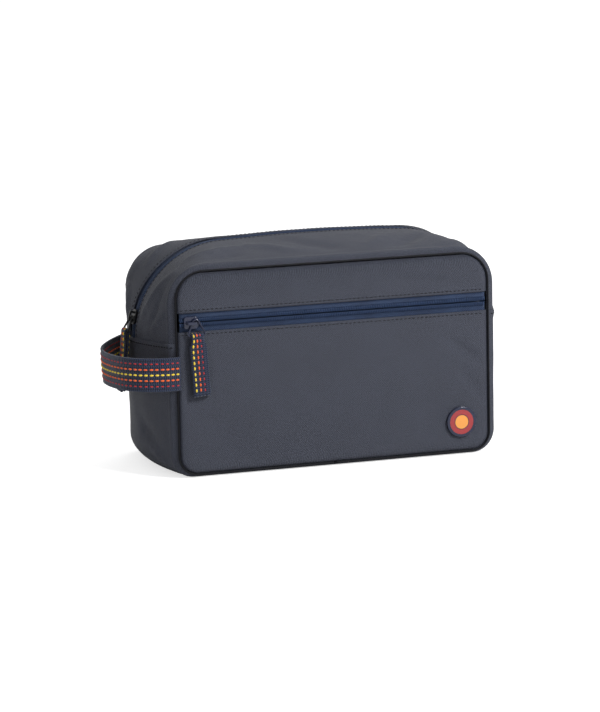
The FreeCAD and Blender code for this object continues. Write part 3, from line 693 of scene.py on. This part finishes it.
FRONT = -FACE
lower_face = folded(panel_grid(BASE, SLOT_LOW, FRONT, -1), SLOT_LOW, -1)
upper_face = folded(panel_grid(SLOT_HIGH, TOP, FRONT, -1), SLOT_HIGH, -1)
for name, grid, node in (("pocket_front", lower_face, "front_pocket_panel"),
                         ("front_top_strip", upper_face, "front_panel_upper")):
    panel = thick_sheet(name, grid, CANVAS_THICK, flip=True)
    fixed(painted(panel, CANVAS), "bag", "coated_canvas", node)
back_face = panel_grid(BASE, TOP, FACE, 1, soft=0.8)
panel = thick_sheet("back_face", back_face, CANVAS_THICK)
fixed(painted(panel, CANVAS), "bag", "coated_canvas", "back_panel")
# a near-black cord laid in each seam's valley is painted shade: it stands for the shadow in the seam valley,
# not for a part of the bag
for side, sign in (("front", -1), ("rear", 1)):
    left, right = outline(SEAM - 0.35, -0.15)
    loop = np.vstack([left, right[:-1], left[:2]])
    run_loop = np.stack([loop[:, 0], np.full(len(loop), sign * (SEAM + 0.25)), loop[:, 1] + 0.1], axis=1)
    ahead = np.gradient(run_loop, axis=0)
    ahead /= np.maximum(np.linalg.norm(ahead, axis=1, keepdims=True), 1e-9)
    facing = np.tile(np.array([0.0, sign, 0.0]), (len(loop), 1))
    shade_cord_section = [(0.68 * math.cos(math.pi * k / 4), 1.0 * math.sin(math.pi * k / 4)) for k in range(8)]
    line = swept(f"seam_shade_cord_{side}", run_loop, np.cross(facing, ahead), facing, shade_cord_section)
    fixed(painted(line, THREAD_AND_SHADE), "bag", "seam_binding")

for name, node, flip in (
    ("pocket_back_cloth", "front_pocket_lining", True), ("front_inner_cloth", "lining_front", True),
    ("back_inner_cloth", "lining_back", False),
):
    low, high = box_mm(node)
    cloth = panel_grid(low[2], high[2], high[1], 1, inset=3.3, soft=0.15, edge_roll=0.0)
    fixed(painted(thick_sheet(name, cloth, 0.45), LINING), "bag", "lining_cloth", node)

for name, grid, at in (("lower", lower_face, SLOT_LOW - 2.1), ("upper", upper_face, SLOT_HIGH + 2.1)):
    path = grid[int(np.argmin(np.abs(grid[:, 40, 2] - at))), 3:-3]
    ahead = np.tile(np.array([0, -1.0, 0]), (len(path), 1))
    # near-black stitches: dark partly as painted shade of the stitch holes
    row = stitches(f"pocket_zip_stitch_{name}", path, ahead, 3.3, 2.3, 0.38, sink=0.1)
    fixed(painted(row, THREAD_AND_SHADE), "bag", "coated_canvas")

# ---- zips: woven tapes and spiral coils whose loops meet along a fine middle line ----


def coil_row(name, path, side, up, sign, pitch=1.35):
    """One half of a zip: a flattened spiral of monofilament beside the middle line."""
    path, up = np.asarray(path, float), np.asarray(up, float)
    run = run_along(path)
    turns, steps, sides, wire = int(run[-1] / pitch), 12, 5, 0.40
    phase = (np.arange(turns * steps + 1) / steps + (0.5 if sign > 0 else 0.0)) * 2 * math.pi
    at = np.clip(np.arange(turns * steps + 1) / steps * pitch, 0, run[-1])
    centre = np.stack([np.interp(at, run, path[:, k]) for k in range(3)], axis=1)
    lift = np.stack([np.interp(at, run, up[:, k]) for k in range(3)], axis=1)
    lift /= np.linalg.norm(lift, axis=1, keepdims=True)
    aside = np.tile(np.asarray(side, float), (len(at), 1)) * sign
    lateral = 1.66 - 1.08 * np.cos(phase)
    height = 0.88 + 0.44 * np.sin(phase)
    wire_path = centre + aside * lateral[:, None] + lift * height[:, None]
    ahead = np.gradient(wire_path, axis=0)
    ahead /= np.linalg.norm(ahead, axis=1, keepdims=True)
    out = np.cross(ahead, np.cross(aside, lift))
    out /= np.maximum(np.linalg.norm(out, axis=1, keepdims=True), 1e-9)
    over = np.cross(out, ahead)
    turns_round = np.linspace(0, 2 * math.pi, sides, endpoint=False)
    section = [(wire * math.cos(a), wire * math.sin(a)) for a in turns_round]
    return swept(name, wire_path, out, over, section)


TAPE_INSET = 1.5
flat_zip = cut_outline(0.0, "top", np.linspace(0, 1, 500), TAPE_INSET, 3.0)
main_path = np.stack([flat_zip[:, 0], np.zeros(500), flat_zip[:, 1]], axis=1)
run_ahead = np.gradient(main_path, axis=0)
main_up = np.stack([-run_ahead[:, 2], np.zeros(500), run_ahead[:, 0]], axis=1)
main_up /= np.linalg.norm(main_up, axis=1, keepdims=True)
for side, sign in (("front", -1), ("rear", 1)):
    tape_depths = sorted(sign * np.array([0.7, 1.2, 3.0, 3.3, 3.7, 4.0, 6.0, 8.0, 10.0, 12.0]))
    tape_grid = surface("top", PLACES, tape_depths, inset=TAPE_INSET, reach=6.0)
    rib = np.where(np.abs(np.abs(tape_grid[:, :, 1]) - 3.5) < 0.3, 0.22, 0.0)
    tape_grid = tape_grid + grid_normals(tape_grid) * rib[:, :, None]
    tape = thick_sheet(f"main_tape_{side}", tape_grid, 0.6)
    painted(tape, TAPE)
    over_opening(tape, side, f"main_zip_tape_{side}_flap", f"main_zip_tape_{side}_shoulders")
    coil = coil_row(f"main_coil_{side}", main_path, (0, 1, 0), main_up, sign)
    painted(coil, COIL)
    over_opening(coil, side, f"main_zip_coil_{side}_flap", f"main_zip_coil_{side}_shoulders")

ZIP_X = np.linspace(TAPE_LOW[0], TAPE_HIGH[0], 90)
ZIP_Z = (SLOT_LOW + SLOT_HIGH) / 2
front_path = np.stack([ZIP_X, np.full(90, TAPE_LOW[1]), np.full(90, ZIP_Z)], axis=1)
front_up = np.tile(np.array([0, -1.0, 0]), (90, 1))
for label, sign in (("lower", -1), ("upper", 1)):
    heights = sorted(ZIP_Z + sign * np.array([0.7, 1.2, 3.0, 3.3, 3.7, 4.0, 6.0, 8.0, 10.0, 11.9]))
    strip = np.zeros((len(heights), 90, 3))
    strip[:, :, 0], strip[:, :, 2] = ZIP_X[None], np.array(heights)[:, None]
    strip[:, :, 1] = TAPE_LOW[1] - np.where(np.abs(np.abs(strip[:, :, 2] - ZIP_Z) - 3.5) < 0.3, 0.2, 0.0)
    fixed(painted(thick_sheet(f"pocket_tape_{label}", strip, 0.55, flip=True), TAPE), "bag", "zip_tape",
          f"front_zip_tape_{label}")
    coil = coil_row(f"pocket_coil_{label}", front_path, (0, 0, 1), front_up, sign)
    fixed(painted(coil, COIL), "bag", "zip_coil", f"front_zip_coil_{label}")

# ---- webbing: the side handle and the two folded pulls, with their coloured thread floats ----
STRAP_STEPS = 170
STRAP_HALF_THICK = 0.95
STRAP_POINTS = [  # x and y along the handle, from the front seam round to the rear one
    (-118.6, -57.9), (-122.5, -59.6), (-132.0, -61.0), (-146.0, -57.6), (-156.5, -47.5),
    (-162.2, -31.0), (-163.4, -12.0), (-158.6, 7.0), (-150.6, 23.0), (-141.8, 36.5),
    (-132.4, 48.5), (-123.5, 57.4), (-119.4, 58.4),
]
STRAP_LOW, STRAP_HIGH = box_mm("webbing_handle")
STRAP_Z = (STRAP_LOW[2] + STRAP_HIGH[2]) / 2


def flowing(points, count):
    """A smooth path through points, as (count, dimensions)."""
    p = np.asarray(points, float)
    p = np.vstack([2 * p[0] - p[1], p, 2 * p[-1] - p[-2]])
    out = []
    for at in np.linspace(0, len(p) - 3, count):
        k = min(int(at), len(p) - 4)
        t = at - k
        a, b, c, d = p[k:k + 4]
        out.append(0.5 * (2 * b + (c - a) * t + (2 * a - 5 * b + 4 * c - d) * t ** 2
                          + (3 * b - a - 3 * c + d) * t ** 3))
    return np.array(out)


def band_section(half, thick, bead=0.0):
    """The cross-section of a webbing band: rounded edges and a slightly raised selvedge."""
    top = [(-half, 0), (-half + 0.12, thick * 0.6), (-half + 0.5, thick + bead), (-half + 1.3, thick)]
    top += [(s, thick) for s in np.linspace(-half + 2.5, half - 2.5, 9)]
    top += [(half - 1.3, thick), (half - 0.5, thick + bead), (half - 0.12, thick * 0.6), (half, 0)]
    return top + [(s, -h) for s, h in top[-2:0:-1]]


ground = flowing(STRAP_POINTS, STRAP_STEPS)
strap_path = np.stack([ground[:, 0], ground[:, 1], np.full(STRAP_STEPS, STRAP_Z)], axis=1)
strap_ahead = np.gradient(strap_path, axis=0)
strap_out = np.stack([strap_ahead[:, 1], -strap_ahead[:, 0], np.zeros(STRAP_STEPS)], axis=1)
strap_out /= np.linalg.norm(strap_out, axis=1, keepdims=True)
if strap_out[85, 0] > 0:
    strap_out = -strap_out
share = np.linspace(0, 1, STRAP_STEPS)
droop = np.sin(math.pi * share) ** 2
strap_path[:, 2] -= 0.8 * droop + 1.6 * (1 - smoothstep(share / 0.35))
tilt = 0.05 * droop[:, None]
strap_side = np.tile(np.array([0, 0, 1.0]), (STRAP_STEPS, 1)) + strap_out * tilt
strap_section = band_section((STRAP_HIGH[2] - STRAP_LOW[2]) / 2, STRAP_HALF_THICK, 0.1)
strap = swept("side_handle", strap_path, strap_side, strap_out, strap_section)
fixed(painted(strap, WEBBING), "bag", "striped_webbing", "webbing_handle")
FLOAT_PITCH = 4.06
STRIPES = (("yellow", THREAD_YELLOW, (0.0,), 0.74), ("orange", THREAD_ORANGE, (-4.1, 4.1), 0.70),
           ("red", THREAD_RED, (-8.3, 8.3), 0.55))
for face, way in (("outer", 1), ("inner", -1)):
    for name, look, offsets, radius in STRIPES:
        for k, offset in enumerate(offsets):
            path = strap_path + strap_side * offset + strap_out * way * STRAP_HALF_THICK
            length = 2.3 if name == "red" else 2.9
            floats = stitches(f"handle_{face}_{name}_{k}", path[3:-3], (strap_out * way)[3:-3], FLOAT_PITCH,
                              length, radius, sink=0.25)
            fixed(painted(floats, look), "bag", "striped_webbing")

PULL_LENGTH = 45.0
PULL_STEPS = 150
LOOP_RADIUS = 1.42  # of the middle of the webbing, round the ring's bar
FOLD_SECTION = [
    (-6.3, 0), (-6.15, 0.5), (-5.8, 0.9), (-5.2, 1.06), (-3, 1.1), (0, 1.1), (3, 1.1), (5.8, 1.06),
    (6.2, 0.85), (6.3, 0.5), (6.2, 0.16), (5.6, 0.05), (1.0, 0.03), (-4.4, 0.0),
]
FOLD_SECTION += [(s, -h) for s, h in FOLD_SECTION[-2:0:-1]]


def webbing_pull(name, body, node, origin, lean, turned, clear=(0, 0, 0)):
    """Webbing folded lengthwise and looped over a ring's bar, with both tails hanging together."""
    line = [(-0.95, -PULL_LENGTH + 0.6), (-0.96, -30), (-1.0, -16), (-1.1, -9), (-1.28, -4.5)]
    line += [(-LOOP_RADIUS, -1.5)]
    line += [(-LOOP_RADIUS * math.cos(a), LOOP_RADIUS * math.sin(a)) for a in np.linspace(0, math.pi, 11)]
    line += [(LOOP_RADIUS, -1.5), (1.28, -4.5), (1.1, -9), (1.0, -16), (0.96, -30), (0.95, -PULL_LENGTH)]
    flat = flowing(line, PULL_STEPS)
    path = np.stack([np.zeros(PULL_STEPS), flat[:, 0], flat[:, 1]], axis=1)
    ahead = np.gradient(path, axis=0)
    ahead /= np.linalg.norm(ahead, axis=1, keepdims=True)
    side = np.tile(np.array([1.0, 0, 0]), (PULL_STEPS, 1))
    up = np.cross(side, ahead)
    if up[PULL_STEPS // 2, 2] < 0:
        up = -up
    narrow = 1 - 0.27 * smoothstep((path[:, 2] + 9) / 7)
    scale = np.stack([narrow, np.full(PULL_STEPS, 0.70)], axis=1)
    section = np.array(FOLD_SECTION)[None] * scale[:, None]
    band = swept(name, path, side, up, section)
    turn = Matrix.Rotation(lean, 4, "Y") @ Matrix.Rotation(turned, 4, "Z")
    place = Matrix.Translation(Vector(origin) + Vector(clear)) @ turn
    band.matrix_world = place
    fixed(painted(band, WEBBING), body, "striped_webbing", node)
    for label, look, offset, size in (
        ("yellow", THREAD_YELLOW, -4.3, 0.68), ("orange", THREAD_ORANGE, -1.0, 0.66),
        ("red", THREAD_RED, 2.2, 0.5),
    ):
        row = path + side * (offset * narrow)[:, None] + up * 0.76
        length = 2.0 if label == "red" else 2.6
        floats = stitches(f"{name}_{label}", row[1:-1], up[1:-1], FLOAT_PITCH, length, size, sink=0.25)
        floats.matrix_world = place
        fixed(painted(floats, look), body, "striped_webbing")


joints = {j["name"]: j for j in frame["record"]["behaviour"]["joints"]}
webbing_pull("pocket_pull_webbing", "pocket_pull", "front_webbing_pull", joints["pocket_pull_lift"]["pos_m"],
             math.radians(-3.5), 0.0, clear=(0, -0.0003, 0))
webbing_pull("main_pull_strap", "main_pull", "main_webbing_pull", joints["main_pull_swing"]["pos_m"],
             math.radians(6.0), math.radians(90))

# ---- studio: white floor and world, a soft light from the front right, one from behind, the camera ----
floor_points = [(x, y, 0) for x in (-3000, 3000) for y in (-3000, 3000)]
floor = add_mesh("floor", floor_points, [(0, 2, 3, 1)])
floor.location.z = -0.0002
painted(floor, WHITE)

world = bpy.data.worlds.new("studio")
world.use_nodes = True
sky = Nodes(world.node_tree)
seen = sky.add("ShaderNodeLightPath", out="Is Camera Ray")
strength = sky.add("ShaderNodeMapRange", in_0=seen, in_1=0.0, in_2=1.0, in_3=0.45, in_4=1.05)
world.node_tree.nodes["Background"].inputs["Color"].default_value = (1, 1, 1, 1)
world.node_tree.links.new(strength, world.node_tree.nodes["Background"].inputs["Strength"])
bpy.context.scene.world = world
bpy.context.scene.view_settings.view_transform = "Standard"


def area_light(name, at, aim, size, power):
    """A white rectangle of light; places and sizes are in metres."""
    data = bpy.data.lights.new(name, "AREA")
    data.shape = "RECTANGLE"
    data.size, data.size_y = size
    data.energy = power
    lamp = bpy.data.objects.new(name, data)
    bpy.context.scene.collection.objects.link(lamp)
    lamp.location = at
    lamp.rotation_mode = "QUATERNION"
    lamp.rotation_quaternion = (Vector(aim) - Vector(at)).to_track_quat("-Z", "Y")


area_light("key", (0.9, -1.25, 1.15), (0, 0, 0.08), (0.5, 0.5), 29)
area_light("rim", (0.5, 0.9, 1.3), (0, 0, 0.12), (0.7, 0.4), 3.5)


def aim_camera(azimuth, elevation, roll, distance, lens, shift):
    """A camera that looks at the middle of the bag, from angles in degrees and a distance in metres."""
    a, e, r = (math.radians(v) for v in (azimuth, elevation, roll))
    back = Vector((math.sin(a) * math.cos(e), -math.cos(a) * math.cos(e), math.sin(e)))
    right = Vector((0, 0, 1)).cross(back).normalized()
    up = back.cross(right)
    turned = right * math.cos(r) + up * math.sin(r)
    upward = up * math.cos(r) - right * math.sin(r)
    data = bpy.data.cameras.new("camera")
    data.lens, data.sensor_width = lens, 36
    data.shift_x, data.shift_y = shift
    data.clip_start, data.clip_end = 0.05, 30
    camera = bpy.data.objects.new("camera", data)
    bpy.context.scene.collection.objects.link(camera)
    at = Vector((0, 0, 0.08)) + back * distance
    frame_of = Matrix((turned, upward, back)).transposed().to_4x4()
    camera.matrix_world = Matrix.Translation(at) @ frame_of
    bpy.context.scene.camera = camera


aim_camera(-18.17, 9.91, -1.20, 2.5645, 172.5, (-0.0142, -0.0136))
